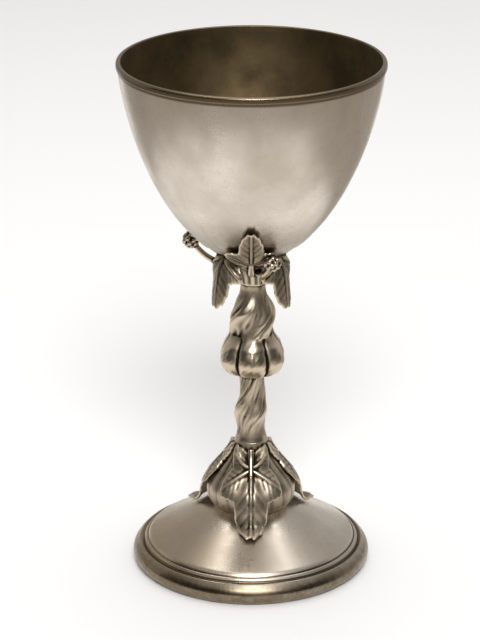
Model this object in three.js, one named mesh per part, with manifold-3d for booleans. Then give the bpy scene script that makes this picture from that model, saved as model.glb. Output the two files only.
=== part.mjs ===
// A trophy cup: a thin spun bowl on a cast vine stem, over a hollow spun foot.
// The calyx under the bowl has three leaves that lie against it, three that hang between them and three small
// bunches of grapes. Below it are a gnarled trunk with a six-lobed knop and a cap of three broad leaves over the foot.
// Millimetres, +Z up, with the origin at the centre of the foot's underside.
import * as THREE from "three";
import { mergeVertices } from "three/addons/utils/BufferGeometryUtils.js";
import Module from "manifold-3d";

const wasm = await Module();
wasm.setup();

const TURN = 2 * Math.PI;
const leafCount = 3;
const turnedSides = 48;
const castSides = 24;
const leafAngles = 24;

// Foot: a spun cone with a half-round rim, hollow and open below
const footRadius = 41.2;
const footHeight = 20.8;
const footWall = 1.2;
const footRimHeight = 7.6;
const footRimTuck = 2.2;
const footRimShoulder = 2;
const footRingWidth = 2;
const footSlopePower = 1.1;

// Leaf cap: a cast mound that sits on the crown of the foot
const capHeight = 24.3;
const capSeatRadius = 12.6;
const capBellyRadius = 15.4;
const capTopRadius = 5.7;
const capLeafLength = 26;
const capLeafStalk = 8.6;
const capLeafSpread = 0.85;
const capLeafThickness = 1.5;
const capLeafTipRadius = 24;

// Stem: a leaning trunk with a knop
const stemHeight = 56.75;
const trunkRadius = 4.5;
const trunkKnotRadius = 5.6;
const shaftRadius = 7.6;
const knopRadius = 11.4;
const knopHeight = 15.4;
const knopUnderside = 23.7;
const knopLobes = 6;
const trunkStrands = 3;
const trunkTwist = 1.15;
const trunkLean = 0.6;

// Calyx: a cast hub with leaves against the bowl, leaves that hang, and bunches
const hubHeight = 10.95;
const hubNeckRadius = 4.3;
const calyxLeafThickness = 1.3;
const bowlLeafLength = 22;
const bowlLeafStalk = 8;
const bowlLeafHalfWidth = 9.5;
const hangingLeafLength = 18;
const hangingLeafStalk = 6.5;
const hangingLeafHalfWidth = 12.5;
const hangingLeafRadius = 12.6;
const hangingLeafDrop = 9.4;
const bunchHeightOnBowl = 6;
const bunchTurn = TURN * 0.055;
const bunchRadius = 3.2;
const berryRadius = 1.5;
const berryCount = 7;
const stalkRadius = 1.1;

// Leaf relief, the most a leaf wraps to each side, and the air between a leaf or bunch and the piece beside it
const leafFold = 0.35;
const leafRoom = (TURN / leafCount) * 0.5;
const leafClearance = 0.4;

// Bowl: a thin bell with a thickened lip
const bowlHeight = 67.2;
const bowlRadius = 44.4;
const bowlWall = 1.2;
const bowlTipDepth = 1.5;
const bowlBellPower = 1.485;
const bowlRoundPower = 0.478;
const lipHeight = 2.4;
const lipStep = 0.45;

// Heights at which the pieces meet
const capSeatZ = footHeight;
const stemSeatZ = capSeatZ + capHeight;
const hubSeatZ = stemSeatZ + stemHeight;
const bowlSeatZ = hubSeatZ + hubHeight;
const rimZ = bowlSeatZ + bowlHeight;

const agedSilver = new THREE.MeshStandardMaterial({ color: 0xb9b1a3, roughness: 0.3, metalness: 1 });
const castSilver = new THREE.MeshStandardMaterial({ color: 0x8e8472, roughness: 0.45, metalness: 1 });
const steps = (count) => Array.from({ length: count + 1 }, (_, i) => i / count);
const frontAzimuth = -TURN / 4;

// A turned solid from a closed run of [radius, height] pairs, taken up the outside and back down the inside.
function turned(profile, sides) {
  const lathe = new THREE.LatheGeometry(
    profile.map(([r, z]) => new THREE.Vector2(r, z)),
    sides,
  );
  return lathe.rotateX(Math.PI / 2);
}

// A closed three.js mesh as a solid that can be joined to others.
function solidFrom(geometry) {
  const bare = geometry.index ? geometry.toNonIndexed() : geometry.clone();
  bare.deleteAttribute("normal");
  bare.deleteAttribute("uv");
  const merged = mergeVertices(bare, 1e-4);
  const solid = new wasm.Manifold(
    new wasm.Mesh({
      numProp: 3,
      vertProperties: new Float32Array(merged.attributes.position.array),
      triVerts: new Uint32Array(merged.index.array),
    }),
  );
  return solid;
}

function meshFrom(positions, index) {
  const geometry = new THREE.BufferGeometry();
  geometry.setAttribute("position", new THREE.Float32BufferAttribute(positions, 3));
  geometry.setIndex(index);
  geometry.computeVertexNormals();
  return geometry;
}

function joined(geometries) {
  const solid = geometries.map(solidFrom).reduce((whole, piece) => whole.add(piece));
  const { vertProperties, triVerts } = solid.getMesh();
  return meshFrom([...vertProperties], [...triVerts]);
}

function piece(name, geometry, material) {
  const mesh = new THREE.Mesh(geometry, material);
  mesh.name = name;
  return mesh;
}

// Foot

const footSlopeRadius = footRadius - footRimShoulder;

// Height of the foot's upper face at a radius inside its rim.
function footTop(radius) {
  const out = Math.max(0, (radius - capSeatRadius) / (footSlopeRadius - capSeatRadius));
  return footRimHeight + (footHeight - footRimHeight) * (1 - Math.min(1, out) ** footSlopePower);
}

function footShell() {
  const rim = steps(5).map((t) => {
    const inset = THREE.MathUtils.lerp(footRimTuck, footRimShoulder, t);
    return [footRadius - inset * (1 - Math.sin(Math.PI * t)), footRimHeight * t];
  });
  const slope = steps(4)
    .slice(1)
    .map((t) => THREE.MathUtils.lerp(footSlopeRadius, capSeatRadius, t))
    .map((r) => [r, footTop(r)]);
  const hollowRadius = footRadius - footRimTuck - footRingWidth;
  const crownRadius = capSeatRadius - footWall / 2;
  const hollow = steps(3)
    .map((t) => THREE.MathUtils.lerp(crownRadius, hollowRadius, t))
    .map((r) => [r, footTop(r) - footWall]);
  const closing = [
    [hollowRadius, 0],
    [footRadius - footRimTuck, 0],
  ];
  return turned([...rim, ...slope, [0, footHeight], [0, footHeight - footWall], ...hollow, ...closing], turnedSides);
}

// Leaves

// How far a leaf reaches at an angle from its midrib, as a share of its length: five lobes and a notch at the stalk.
function leafReach(angle) {
  const lobe = (at, size, width) => size * Math.exp(-(((Math.abs(angle) - at) / width) ** 2));
  return 0.3 + lobe(0, 0.7, 0.5) + lobe(TURN / 6, 0.4, 0.38) + lobe(TURN / 3, 0.2, 0.36) - lobe(TURN / 2, 0.16, 0.3);
}

const widestReach = leafReach(TURN / 6) * Math.sin(TURN / 6);

// A cast leaf laid along a guide. The guide is a curve of (radius, height), and the leaf wraps round the cup's axis.
function leaf({ guide, stalkAt, length, spread, thickness, azimuth }) {
  const rings = 3;
  const guideLength = guide.getLength();
  const place = (along, across, lift) => {
    const share = (stalkAt + along) / guideLength;
    const within = THREE.MathUtils.clamp(share, 0, 1);
    const tangent = guide.getTangentAt(within);
    const point = guide.getPointAt(within).addScaledVector(tangent, (share - within) * guideLength);
    point.add(new THREE.Vector2(-tangent.y, tangent.x).multiplyScalar(lift));
    const turn = azimuth + leafRoom * Math.tanh(across / point.x / leafRoom);
    return [point.x * Math.cos(turn), point.x * Math.sin(turn), point.y];
  };
  const positions = [];
  for (const side of [1, -1]) {
    positions.push(...place(0, 0, (side * thickness) / 2));
    for (let ring = 1; ring <= rings; ring++) {
      const share = ring / rings;
      for (let i = 0; i < leafAngles; i++) {
        const angle = (TURN * i) / leafAngles - Math.PI;
        const reach = share * length * leafReach(angle);
        const fold = leafFold * Math.cos(6 * angle) * Math.sin(Math.PI * share * 0.8);
        const lift = (side * thickness) / 2 + fold;
        positions.push(...place(reach * Math.cos(angle), spread * reach * Math.sin(angle), lift));
      }
    }
  }
  const index = [];
  const perSide = 1 + rings * leafAngles;
  const vertex = (side, ring, i) => side * perSide + 1 + (ring - 1) * leafAngles + (i % leafAngles);
  const face = (side, a, b, c) => index.push(...(side === 0 ? [a, b, c] : [a, c, b]));
  for (let i = 0; i < leafAngles; i++) {
    for (const side of [0, 1]) {
      face(side, side * perSide, vertex(side, 1, i), vertex(side, 1, i + 1));
      for (let ring = 1; ring < rings; ring++) {
        face(side, vertex(side, ring, i), vertex(side, ring + 1, i), vertex(side, ring + 1, i + 1));
        face(side, vertex(side, ring, i), vertex(side, ring + 1, i + 1), vertex(side, ring, i + 1));
      }
    }
    const [a, b] = [vertex(0, rings, i), vertex(0, rings, i + 1)];
    const [c, d] = [vertex(1, rings, i), vertex(1, rings, i + 1)];
    index.push(a, c, d, a, d, b);
  }
  return meshFrom(positions, index);
}

// Leaf cap

const capPoint = (radius, up) => new THREE.Vector2(radius, capSeatZ + capHeight * up);

function capGuide() {
  const lift = leafClearance + leafFold + capLeafThickness / 2;
  const overFoot = (radius) => new THREE.Vector2(radius, footTop(radius) + lift);
  return new THREE.SplineCurve([
    capPoint(capTopRadius * 1.02, 0.97),
    capPoint(capTopRadius * 1.4, 0.79),
    capPoint(capBellyRadius * 0.76, 0.59),
    capPoint(capBellyRadius * 1.03, 0.38),
    capPoint(capBellyRadius * 1.15, 0.19),
    overFoot(THREE.MathUtils.lerp(capBellyRadius, capLeafTipRadius, 0.45)),
    overFoot(capLeafTipRadius),
  ]);
}

function leafCap() {
  const mound = [
    capPoint(0, 0),
    capPoint(capSeatRadius, 0),
    capPoint(capBellyRadius * 0.96, 0.1),
    capPoint(capBellyRadius, 0.27),
    capPoint(capBellyRadius * 0.91, 0.42),
    capPoint(capBellyRadius * 0.73, 0.56),
    capPoint(capBellyRadius * 0.53, 0.72),
    capPoint(capTopRadius * 1.14, 0.88),
    capPoint(capTopRadius, 1),
    capPoint(0, 1),
  ];
  const core = turned(
    mound.map(({ x, y }) => [x, y]),
    castSides,
  );
  const leaves = Array.from({ length: leafCount }, (_, i) =>
    leaf({
      guide: capGuide(),
      stalkAt: capLeafStalk,
      length: capLeafLength,
      spread: capLeafSpread,
      thickness: capLeafThickness,
      azimuth: frontAzimuth + (TURN * i) / leafCount,
    }),
  );
  return joined([core, ...leaves]);
}

// Stem

// The stem's outline as (radius, height above its seat), before the strands and lobes are raised on it.
function stemOutline() {
  const knopTop = knopUnderside + knopHeight;
  return new THREE.SplineCurve([
    new THREE.Vector2(trunkKnotRadius, 0),
    new THREE.Vector2(trunkRadius * 1.05, knopUnderside * 0.16),
    new THREE.Vector2(trunkKnotRadius, knopUnderside * 0.42),
    new THREE.Vector2(trunkRadius, knopUnderside * 0.68),
    new THREE.Vector2(trunkRadius * 1.02, knopUnderside),
    new THREE.Vector2(knopRadius * 0.8, knopUnderside + knopHeight * 0.12),
    new THREE.Vector2(knopRadius, knopUnderside + knopHeight * 0.4),
    new THREE.Vector2(knopRadius * 0.88, knopUnderside + knopHeight * 0.72),
    new THREE.Vector2(shaftRadius, knopTop),
    new THREE.Vector2(shaftRadius * 0.97, THREE.MathUtils.lerp(knopTop, stemHeight, 0.45)),
    new THREE.Vector2(hubNeckRadius * 1.1, THREE.MathUtils.lerp(knopTop, stemHeight, 0.78)),
    new THREE.Vector2(hubNeckRadius, stemHeight),
  ]);
}

// How far the middle of the trunk stands to the side at a share of the stem's height.
function trunkMiddle(share) {
  const bends = [0, 0, 0.7, 0.6, 0.85, 1];
  const line = new THREE.SplineCurve(bends.map((bend, i) => new THREE.Vector2(i, bend * trunkLean)));
  return line.getPoint(share).y;
}

function stemBody() {
  const rows = 24;
  const positions = [];
  const index = [];
  const outline = stemOutline();
  for (let row = 0; row <= rows; row++) {
    const { x: radius, y: z } = outline.getPointAt(row / rows);
    const share = z / stemHeight;
    const ends = Math.min(1, 6 * share, 6 * (1 - share));
    const inKnop = THREE.MathUtils.clamp((z - knopUnderside) / knopHeight, 0, 1);
    const lobed = Math.sin(Math.PI * inKnop) ** 0.5;
    for (let i = 0; i < castSides; i++) {
      const turn = (TURN * i) / castSides;
      const strand = 0.09 * Math.cos(trunkStrands * (turn - TURN * trunkTwist * share)) * (1 - lobed) * ends;
      const lobe = 0.16 * (Math.abs(Math.cos((knopLobes / 2) * (turn - frontAzimuth))) - 0.8) * lobed;
      const reach = radius * (1 + strand + lobe);
      positions.push(trunkMiddle(share) + reach * Math.cos(turn), reach * Math.sin(turn), stemSeatZ + z);
    }
  }
  const bottom = positions.length / 3;
  positions.push(0, 0, stemSeatZ, trunkLean, 0, hubSeatZ);
  const at = (row, i) => row * castSides + (i % castSides);
  for (let i = 0; i < castSides; i++) {
    for (let row = 0; row < rows; row++) {
      index.push(at(row, i), at(row, i + 1), at(row + 1, i + 1));
      index.push(at(row, i), at(row + 1, i + 1), at(row + 1, i));
    }
    index.push(bottom, at(0, i + 1), at(0, i));
    index.push(bottom + 1, at(rows, i), at(rows, i + 1));
  }
  return meshFrom(positions, index);
}

// Calyx

const below = (radius, drop) => new THREE.Vector2(radius, bowlSeatZ - drop);

// A point under the bowl where a leaf of the calyx clears it.
function underBowl(z) {
  const lift = leafClearance + leafFold + calyxLeafThickness / 2;
  return new THREE.Vector2(...inBowlWall(z, -lift));
}

function bowlLeafGuide() {
  return new THREE.SplineCurve([
    below(hubNeckRadius * 1.55, hubHeight * 0.2),
    underBowl(0.5),
    underBowl((bowlLeafStalk + bowlLeafLength) * 0.1),
    underBowl((bowlLeafStalk + bowlLeafLength) * 0.23),
    underBowl((bowlLeafStalk + bowlLeafLength) * 0.42),
    underBowl((bowlLeafStalk + bowlLeafLength) * 0.7),
  ]);
}

function hangingLeafGuide() {
  return new THREE.SplineCurve([
    below(hubNeckRadius * 1.2, hubHeight * 0.5),
    below(hubNeckRadius * 1.85, hubHeight * 0.26),
    underBowl(0.6),
    below(hangingLeafRadius * 0.96, hubHeight * 0.32),
    below(hangingLeafRadius * 1.02, hubHeight * 0.8),
    below(hangingLeafRadius * 1.07, hubHeight + hangingLeafDrop),
  ]);
}

// A bent stalk from inside the hub to a point (radius, height) on the front of the cup's local X axis.
function stalkTo(reach, height) {
  const start = new THREE.Vector3(hubNeckRadius * 0.6, 0, bowlSeatZ - hubHeight * 0.45);
  const end = new THREE.Vector3(reach, 0, height);
  const sag = new THREE.Vector3((start.x + end.x) * 0.6, 0, start.z - hubHeight * 0.15);
  const section = new THREE.Shape().absarc(0, 0, stalkRadius, 0, TURN);
  return new THREE.ExtrudeGeometry(section, {
    extrudePath: new THREE.QuadraticBezierCurve3(start, sag, end),
    steps: 4,
    curveSegments: 3,
  });
}

// A bunch of berries on its stalk, packed round a ball in a spiral.
function bunch(azimuth) {
  const [reach, height] = inBowlWall(bunchHeightOnBowl, -(bunchRadius + leafClearance));
  const packing = bunchRadius - berryRadius;
  const berries = Array.from({ length: berryCount }, (_, i) => {
    const up = 1 - (2 * (i + 0.5)) / berryCount;
    const turn = i * TURN * 0.382;
    const out = packing * Math.sqrt(1 - up * up);
    const berry = new THREE.SphereGeometry(berryRadius, 5, 3);
    return berry.translate(reach + Math.cos(turn) * out, Math.sin(turn) * out, height + up * packing);
  });
  const heart = new THREE.SphereGeometry(packing, 5, 3).translate(reach, 0, height);
  return [heart, stalkTo(reach, height), ...berries].map((geometry) => geometry.rotateZ(azimuth));
}

// A leaf that lies against the bowl, on its stalk.
function bowlLeaf(azimuth) {
  const guide = bowlLeafGuide();
  const root = guide.getPointAt(bowlLeafStalk / guide.getLength());
  const blade = leaf({
    guide,
    stalkAt: bowlLeafStalk,
    length: bowlLeafLength,
    spread: bowlLeafHalfWidth / (bowlLeafLength * widestReach),
    thickness: calyxLeafThickness,
    azimuth,
  });
  return [blade, stalkTo(root.x, root.y).rotateZ(azimuth)];
}

// The hub leans, so that its neck stands on the top of the trunk and its head stays under the bowl.
function hub() {
  const outline = [
    [0, 0],
    [hubNeckRadius, 0],
    [hubNeckRadius * 1.1, 0.3],
    [hubNeckRadius * 1.3, 0.6],
    [bowlOuter(0) * 0.92, 0.88],
    [bowlOuter(0), 1],
    [0, 1],
  ].map(([r, up]) => [r, hubSeatZ + hubHeight * up]);
  const lean = new THREE.Matrix4().makeShear(0, 0, 0, 0, -trunkLean / hubHeight, 0);
  return turned(outline, castSides)
    .applyMatrix4(lean)
    .translate((trunkLean * bowlSeatZ) / hubHeight, 0, 0);
}

function calyx() {
  const solids = [hub()];
  for (let i = 0; i < leafCount; i++) {
    const azimuth = frontAzimuth + (TURN * i) / leafCount;
    solids.push(
      ...bowlLeaf(azimuth),
      leaf({
        guide: hangingLeafGuide(),
        stalkAt: hangingLeafStalk,
        length: hangingLeafLength,
        spread: hangingLeafHalfWidth / (hangingLeafLength * widestReach),
        thickness: calyxLeafThickness,
        azimuth: azimuth + leafRoom,
      }),
      ...bunch(azimuth + bunchTurn),
    );
  }
  return joined(solids);
}

// Bowl

// Outer radius of the bowl's wall at a height above its seat.
function bowlOuter(z) {
  const share = (z + bowlTipDepth) / (bowlHeight + bowlTipDepth);
  return bowlRadius * (1 - (1 - share) ** bowlBellPower) ** bowlRoundPower;
}

// A point (radius, height) at a depth under the bowl's outer face, measured square to it.
function inBowlWall(z, depth) {
  const reach = 0.01;
  const slope = (bowlOuter(z + reach) - bowlOuter(z - reach)) / (2 * reach);
  const size = Math.hypot(1, slope);
  return [bowlOuter(z) - depth / size, bowlSeatZ + z + (depth * slope) / size];
}

function bowlShell() {
  const lipFoot = bowlHeight - lipHeight;
  const heights = steps(7).map((t) => lipFoot * t ** 1.5);
  const outside = heights.map((z) => inBowlWall(z, 0));
  const inside = heights.map((z) => inBowlWall(z, bowlWall)).reverse();
  const lipRadius = bowlRadius + lipStep;
  const lip = [
    [lipRadius, bowlSeatZ + lipFoot + lipStep],
    [lipRadius, rimZ - lipStep / 2],
    [lipRadius - lipStep / 2, rimZ],
    [bowlRadius - bowlWall, rimZ],
  ];
  return turned([[0, bowlSeatZ], ...outside, ...lip, ...inside, [0, bowlSeatZ + bowlWall]], turnedSides);
}

const cup = new THREE.Group();
cup.name = "trophy_cup";
cup.add(piece("foot", footShell(), agedSilver));
cup.add(piece("leaf_cap", leafCap(), castSilver));
cup.add(piece("stem", stemBody(), castSilver));
cup.add(piece("calyx", calyx(), castSilver));
cup.add(piece("bowl", bowlShell(), agedSilver));

export default cup;
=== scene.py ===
"""Trophy cup: the finished surfaces of a silver goblet, built around its solid pieces.

The bowl and foot are spun shells. The calyx, stem and leaf cap are castings: each is put together from
closed skins, fused as the caster's wax is, and then darkened in its hollows.
"""
import math
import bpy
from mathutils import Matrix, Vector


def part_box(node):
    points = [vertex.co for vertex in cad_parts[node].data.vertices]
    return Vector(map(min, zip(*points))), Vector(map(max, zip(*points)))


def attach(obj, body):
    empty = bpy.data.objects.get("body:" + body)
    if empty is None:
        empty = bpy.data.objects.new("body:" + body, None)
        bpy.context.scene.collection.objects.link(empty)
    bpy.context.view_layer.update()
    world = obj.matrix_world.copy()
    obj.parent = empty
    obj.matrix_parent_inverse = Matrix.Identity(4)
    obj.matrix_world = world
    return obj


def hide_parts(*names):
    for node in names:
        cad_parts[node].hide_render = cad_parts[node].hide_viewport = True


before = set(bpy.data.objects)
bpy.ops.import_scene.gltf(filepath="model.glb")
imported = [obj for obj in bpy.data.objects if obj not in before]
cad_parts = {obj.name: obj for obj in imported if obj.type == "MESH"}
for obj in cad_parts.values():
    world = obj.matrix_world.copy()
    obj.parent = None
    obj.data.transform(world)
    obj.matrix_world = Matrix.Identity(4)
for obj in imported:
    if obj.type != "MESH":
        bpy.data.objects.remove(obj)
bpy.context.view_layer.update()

from types import SimpleNamespace

import bpy
import numpy as np
from bpy.props import FloatProperty, FloatVectorProperty, IntProperty, PointerProperty
from mathutils import Vector, noise

bl_info = {
    "name": "Trophy Cup",
    "version": (1, 0, 0),
    "blender": (4, 5, 0),
    "location": "3D View > Sidebar > Trophy Cup",
    "description": "Builds the finished surfaces of a tarnished silver goblet with cast vine ornament",
    "category": "Add Mesh",
}

MM = 0.001
TURN = 2 * math.pi
FRONT = -TURN / 4
LEAF_COUNT = 3
CAP_LEAF_SPREAD = 0.85
BUNCH_TURN = TURN * 0.055
TRUNK_TWIST = TURN * 1.15
# In millimetres: the rolled lip, where the foot's slope begins, hammering and veins
LIP_INSET = 0.06
LIP_BEAD = 0.85
LIP_HANG = 0.75
LIP_EASING = 0.35
SLOPE_INSET = 1.9
HAMMER_DEPTH = 0.05
VEIN_DEPTH = 0.34


def box_mm(node):
    """Lowest and highest corner of a solid, in millimetres."""
    low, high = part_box(node)
    return Vector(low) / MM, Vector(high) / MM


FOOT_HIGH = box_mm("foot")[1]
CAP_HIGH = box_mm("leaf_cap")[1]
STEM_LOW, STEM_HIGH = box_mm("stem")
BOWL_LOW, BOWL_HIGH = box_mm("bowl")


def linear(hex_code):
    """The linear colour of an sRGB hex code, with full alpha."""
    channels = [int(hex_code[i:i + 2], 16) / 255 for i in (1, 3, 5)]
    return tuple(c / 12.92 if c <= 0.04045 else ((c + 0.055) / 1.055) ** 2.4 for c in channels) + (1.0,)


def size(name, description, millimetres):
    """A length that is set in millimetres and kept in metres."""
    return FloatProperty(name=name, description=description, default=millimetres * MM, unit="LENGTH", precision=5)


def degrees(name, description, value):
    """An angle that is set in degrees and kept in radians."""
    return FloatProperty(name=name, description=description, default=math.radians(value), subtype="ANGLE")


def power(name, description, watts):
    return FloatProperty(name=name, description=description, default=watts, unit="POWER")


def colour(name, description, hex_code):
    return FloatVectorProperty(
        name=name, description=description, default=linear(hex_code), subtype="COLOR", size=4, min=0, max=1
    )


class CupSizes(bpy.types.PropertyGroup):
    """Sizes of the shells and castings."""

    bowl_radius: size("Bowl radius", "Outside of the bowl just under its lip", 44.4)
    bowl_wall: size("Bowl wall", "Thickness of the bowl", 1.2)
    bowl_tip_depth: size("Bowl tip depth", "How far the bowl's curve would run on below its seat", 1.5)
    lip_height: size("Lip height", "Height of the thickened lip", 2.4)
    foot_wall: size("Foot wall", "Thickness of the foot's cone", 1.2)
    foot_rim_height: size("Foot rim height", "Height of the half-round rim of the foot", 7.6)
    foot_rim_tuck: size("Foot rim tuck", "How far the rim draws in where it meets the table", 2.2)
    foot_ring_width: size("Foot ring width", "Width of the flat ring that the foot rests on", 2.0)
    cap_seat_radius: size("Cap seat radius", "Radius of the flat seat under the leaf cap", 12.6)
    cap_belly_radius: size("Cap belly radius", "Widest radius of the mound under the leaves", 15.4)
    cap_top_radius: size("Cap top radius", "Radius of the mound where the stem stands on it", 5.7)
    cap_leaf_tip_radius: size("Cap leaf tip radius", "Where a leaf's guide meets the foot, from the axis", 24)
    trunk_radius: size("Trunk radius", "Radius of the trunk between its knots", 4.5)
    trunk_knot_radius: size("Knot radius", "Radius of the trunk at a knot", 5.6)
    shaft_radius: size("Shaft radius", "Radius of the trunk above the knop", 7.6)
    knop_radius: size("Knop radius", "Widest radius of the knop", 11.4)
    knop_underside: size("Knop underside", "Height of the knop's underside above the leaf cap", 23.7)
    knop_height: size("Knop height", "Height of the knop", 15.4)
    trunk_lean: size("Trunk lean", "How far the top of the trunk stands to the side", 0.6)
    hub_neck_radius: size("Hub neck radius", "Radius of the calyx where it stands on the trunk", 4.3)
    hanging_radius: size("Hanging leaf radius", "Distance of the hanging leaves from the axis", 12.6)
    hanging_length: size("Hanging leaf length", "Stalk to tip of a hanging leaf", 18)
    hanging_stalk: size("Hanging leaf stalk", "From the hub to where a hanging leaf begins", 6.5)
    hanging_drop: size("Hanging leaf drop", "How far the hanging leaves' guide runs on below the hub", 9.4)
    hanging_half_width: size("Hanging leaf half width", "Midrib to side lobe of a hanging leaf", 12.5)
    bowl_leaf_length: size("Bowl leaf length", "Stalk to tip of a leaf that lies against the bowl", 22)
    bowl_leaf_stalk: size("Bowl leaf stalk", "From the hub, along the bowl, to where that leaf begins", 8)
    bowl_leaf_half_width: size("Bowl leaf half width", "Midrib to side lobe of a leaf against the bowl", 9.5)
    cap_leaf_length: size("Cap leaf length", "Stalk to tip of a leaf on the foot", 26)
    cap_leaf_stalk: size("Cap leaf stalk", "From the top of the cap to where a leaf begins", 8.6)
    cap_leaf_thickness: size("Cap leaf thickness", "Thickness of a leaf on the foot", 1.5)
    calyx_leaf_thickness: size("Calyx leaf thickness", "Thickness of a leaf under the bowl", 1.3)
    leaf_fold: size("Leaf fold", "Depth of the pleats between the lobes of a leaf", 0.35)
    bunch_radius: size("Bunch radius", "Radius of a bunch of berries", 3.2)
    bunch_height: size("Bunch height", "Height of a bunch above the bowl's seat", 6)
    berry_radius: size("Berry radius", "Radius of a single berry", 0.95)
    leaf_clearance: size("Leaf clearance", "Air between a leaf and the piece beside it", 0.4)
    cast_voxel: size("Cast fineness", "Size of the smallest form that the castings keep", 0.285)
    berry_count: IntProperty(name="Berries", description="Berries in a bunch", default=26, min=1)


def in_millimetres(group):
    """The lengths of a group as plain numbers of millimetres, with its counts as they are."""
    values = {name: getattr(group, name) for name in group.__annotations__}
    return SimpleNamespace(**{name: v / MM if isinstance(v, float) else v for name, v in values.items()})


class CupFinish(bpy.types.PropertyGroup):
    """Colours of the metal, its tarnish and the shade painted on it."""

    silver: colour("Silver", "Rubbed silver plate", "#DDD4C8")
    tarnish: colour("Tarnish", "Thin grey-brown tarnish on the plate", "#B9AE9F")
    stain: colour("Stain", "Thick brown tarnish in corners", "#5E5140")
    # Painted shade: this brown darkens the left side of the foot, where the light falls less.
    brown: colour("Brown tarnish", "Warm brown tarnish on the side that was rubbed least", "#A38E6C")
    # Darker bands: at the foot's rim and the lip partly a dull film and partly painted shade, at the bottom of the
    # bowl painted shade under the bowl.
    grime_and_shade: colour("Grime and shade", "Dull brown film at the foot's rim, the lip and the bottom of the bowl", "#786A55")
    gilt: colour("Gilt", "Dulled gilding inside the bowl", "#7F6D4F")
    gilt_dark: colour("Dark gilt", "Gilding that has gone brown", "#4F4330")
    cast_high: colour("Cast silver", "Rubbed high points of the castings", "#CEBFA9")
    cast_low: colour("Oxide", "Black-brown oxide in the hollows of the castings", "#2A2117")
    floor: colour("Floor", "White paper that the cup stands on", "#F2F2F2")


class CupStage(bpy.types.PropertyGroup):
    """Camera and light."""

    camera_distance: size("Camera distance", "Camera to the cup's axis, along the floor", 896.8)
    camera_height: size("Camera height", "Camera above the floor", 431.7)
    camera_pitch: degrees("Camera pitch", "How far the camera looks down", 20.949)
    camera_yaw: degrees("Camera yaw", "How far the camera looks to the left", 0.244)
    lens: FloatProperty(name="Lens", description="Focal length", default=158.62, subtype="DISTANCE_CAMERA")
    floor_size: size("Floor size", "Side of the square floor", 8000)
    window_power: power("Window", "Power of the soft light from the front", 42.5)
    window_size: size("Window size", "How wide the round window is", 1000)
    window_distance: size("Window distance", "From the cup's foot to the window", 2600)
    window_side: degrees("Window side", "How far the window stands to the right", 3)
    window_height: degrees("Window height", "Angle of the window above the floor", 46)
    softbox_power: power("Softbox", "Power of the soft light overhead", 3.9)
    softbox_size: size("Softbox size", "Side of the square softbox", 700)
    softbox_height: size("Softbox height", "Softbox above the floor", 1000)
    softbox_back: size("Softbox place", "How far behind the cup the softbox hangs", 220)
    sky: FloatProperty(name="Surround", description="Strength of the white surround", default=0.84, min=0)


# Shapes


def loft(rows):
    """A closed skin through rows of points. A row of one point closes an end."""
    points = np.concatenate([np.atleast_2d(row) for row in rows])
    counts = [len(np.atleast_2d(row)) for row in rows]
    starts = np.concatenate([[0], np.cumsum(counts)])
    faces = []
    for k in range(len(rows) - 1):
        below, above = int(starts[k]), int(starts[k + 1])
        width = max(counts[k], counts[k + 1])
        for i in range(width):
            j = (i + 1) % width
            if counts[k] == 1:
                faces.append((below, above + j, above + i))
            elif counts[k + 1] == 1:
                faces.append((below + i, below + j, above))
            else:
                faces.append((below + i, below + j, above + j, above + i))
    return points, faces


def once_round(count):
    """Evenly spaced angles, once round."""
    return np.arange(count) * TURN / count


def ring(reach, turn, height, middle=0.0):
    """A row of points round the axis, or round a middle beside it."""
    return np.stack([middle + reach * np.cos(turn), reach * np.sin(turn), np.broadcast_to(height, turn.shape)], 1)


def spun_rows(profile, sides):
    """Rows of a turned skin from a run of (radius, height) pairs."""
    turn = once_round(sides)
    rows = []
    for radius, height in profile:
        if radius < 1e-6:
            rows.append(np.array([0, 0, height]))
        else:
            rows.append(ring(radius, turn, height))
    return rows


def mesh_object(name, skins):
    """One mesh object from skins of points in millimetres."""
    points, faces, start = [], [], 0
    for skin_points, skin_faces in skins:
        points.append(skin_points)
        faces.extend(tuple(start + i for i in face) for face in skin_faces)
        start += len(skin_points)
    mesh = bpy.data.meshes.new(name)
    mesh.from_pydata((np.concatenate(points) * MM).tolist(), [], faces)
    mesh.validate()
    shade(mesh, smooth_angle=40)
    piece = bpy.data.objects.new(name, mesh)
    bpy.context.scene.collection.objects.link(piece)
    return piece


def shade(mesh, smooth_angle):
    mesh.polygons.foreach_set("use_smooth", np.ones(len(mesh.polygons), dtype=bool))
    if smooth_angle:
        mesh.set_sharp_from_angle(angle=math.radians(smooth_angle))
    mesh.update()


def read(parts, key, width, kind=float):
    """One row of numbers for each part of a mesh."""
    flat = np.empty(len(parts) * width, dtype=kind)
    parts.foreach_get(key, flat)
    return flat.reshape(-1, width)


def points_and_pairs(mesh):
    """The points of a mesh and the two ends of each of its edges."""
    return read(mesh.vertices, "co", 3), read(mesh.edges, "vertices", 2, np.int64)


def neighbour_mean(points, pairs):
    """For each point, the middle of the points that it shares an edge with."""
    ends = np.concatenate([pairs[:, 0], pairs[:, 1]])
    others = np.concatenate([pairs[:, 1], pairs[:, 0]])
    count = np.bincount(ends, minlength=len(points))[:, None]
    total = np.stack([np.bincount(ends, weights=points[others, k], minlength=len(points)) for k in range(3)], 1)
    return total / np.maximum(count, 1)


def relax(points, pairs, passes, share):
    for _ in range(passes):
        points = points + share * (neighbour_mean(points, pairs) - points)
    return points


def fuse(piece, fineness):
    """Fuses the skins of a casting into one and takes the steps out of it."""
    modifier = piece.modifiers.new("fused", "REMESH")
    modifier.mode = "VOXEL"
    modifier.voxel_size = fineness
    modifier.adaptivity = 0
    evaluated = piece.evaluated_get(bpy.context.evaluated_depsgraph_get())
    fused = bpy.data.meshes.new_from_object(evaluated)
    piece.modifiers.clear()
    old = piece.data
    piece.data = fused
    bpy.data.meshes.remove(old)
    fused.name = piece.name
    points = relax(*points_and_pairs(fused), passes=1, share=0.5)
    fused.vertices.foreach_set("co", points.ravel())
    shade(fused, smooth_angle=0)


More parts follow.
